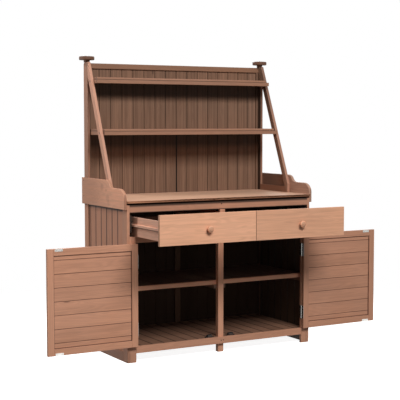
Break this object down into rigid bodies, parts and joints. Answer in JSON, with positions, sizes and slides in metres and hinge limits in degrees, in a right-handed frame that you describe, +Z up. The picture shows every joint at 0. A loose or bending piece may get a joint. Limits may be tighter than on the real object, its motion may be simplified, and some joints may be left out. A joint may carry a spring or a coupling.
{
  "type": "potting bench",
  "caption": "Stained wooden potting bench: a cupboard with open doors and pulled-out drawers under a worktop with shaped side wings, and a shelved hutch with slanted struts and turned finials.",
  "frame": {"origin": "middle of the centre foot's sole, on the floor", "axes": "+X to the right seen from the front, +Y to the back, +Z up"},
  "size_m": [2.052, 0.9285, 1.623],
  "materials": {
    "stained_wood": "satin oil stain",
    "pale_stained_wood": "satin oil stain",
    "dark_stained_wood": "satin oil stain",
    "inside_wood": "matt oil stain",
    "zinc_plated_steel": "zinc plated",
    "black_plastic": "moulded, for the magnet catches"
  },
  "bodies": {
    "bench": {"bottom_front_rail": "stained_wood", "cabinet_back_boards": "inside_wood", "centre_drawer_guide": "inside_wood", "centre_shelf_bearer": "inside_wood", "centre_stile": "stained_wood", "drawer_rail": "pale_stained_wood", "floor_boards": "inside_wood", "hutch_back_boards": "dark_stained_wood", "hutch_top_rail": "dark_stained_wood", "inner_shelf": "inside_wood", "left_drawer_guide": "inside_wood", "left_finial": "dark_stained_wood", "left_foot_rail": "stained_wood", "left_hinge_stile": "stained_wood", "left_hutch_post": "stained_wood", "left_lower_frame_leaf": "zinc_plated_steel", "left_shelf_bearer": "inside_wood", "left_side_boards": "stained_wood", "left_side_frame": "stained_wood", "left_strut": "pale_stained_wood", "left_upper_frame_leaf": "zinc_plated_steel", "left_wing": "stained_wood", "lower_shelf": "stained_wood", "rear_bottom_rail": "inside_wood", "rear_top_rail": "inside_wood", "right_drawer_guide": "inside_wood", "right_finial": "dark_stained_wood", "right_foot_rail": "stained_wood", "right_hinge_stile": "stained_wood", "right_hutch_post": "stained_wood", "right_lower_frame_leaf": "zinc_plated_steel", "right_shelf_bearer": "inside_wood", "right_side_boards": "stained_wood", "right_side_frame": "stained_wood", "right_strut": "pale_stained_wood", "right_upper_frame_leaf": "zinc_plated_steel", "right_wing": "stained_wood", "top_front_rail": "stained_wood", "upper_shelf": "stained_wood", "worktop": "pale_stained_wood"},
    "left_door": {"left_door_boards": "stained_wood", "left_door_frame": "stained_wood", "left_lower_door_leaf": "zinc_plated_steel", "left_upper_door_leaf": "zinc_plated_steel"},
    "right_door": {"right_door_boards": "stained_wood", "right_door_frame": "stained_wood", "right_lower_door_leaf": "zinc_plated_steel", "right_upper_door_leaf": "zinc_plated_steel"},
    "left_drawer": {"left_drawer_back": "inside_wood", "left_drawer_bottom": "inside_wood", "left_drawer_front": "pale_stained_wood", "left_drawer_inner_side": "pale_stained_wood", "left_drawer_knob": "pale_stained_wood", "left_drawer_outer_side": "pale_stained_wood"},
    "right_drawer": {"right_drawer_back": "inside_wood", "right_drawer_bottom": "inside_wood", "right_drawer_front": "pale_stained_wood", "right_drawer_inner_side": "pale_stained_wood", "right_drawer_knob": "pale_stained_wood", "right_drawer_outer_side": "pale_stained_wood"}
  },
  "joints": [
    {"name": "left_door_swing", "type": "hinge", "parent": "bench", "child": "left_door", "pos_m": [-0.5215, -0.0331, 0.355], "axis": [0, 0, 1], "range_deg": [0, 180]},
    {"name": "right_door_swing", "type": "hinge", "parent": "bench", "child": "right_door", "pos_m": [0.5215, -0.0331, 0.355], "axis": [0, 0, -1], "range_deg": [0, 180]},
    {"name": "left_drawer_slide", "type": "slide", "parent": "bench", "child": "left_drawer", "axis": [0, 1, 0], "range_m": [-0.04, 0.3255]},
    {"name": "right_drawer_slide", "type": "slide", "parent": "bench", "child": "right_drawer", "axis": [0, 1, 0], "range_m": [-0.04, 0.3255]}
  ]
}
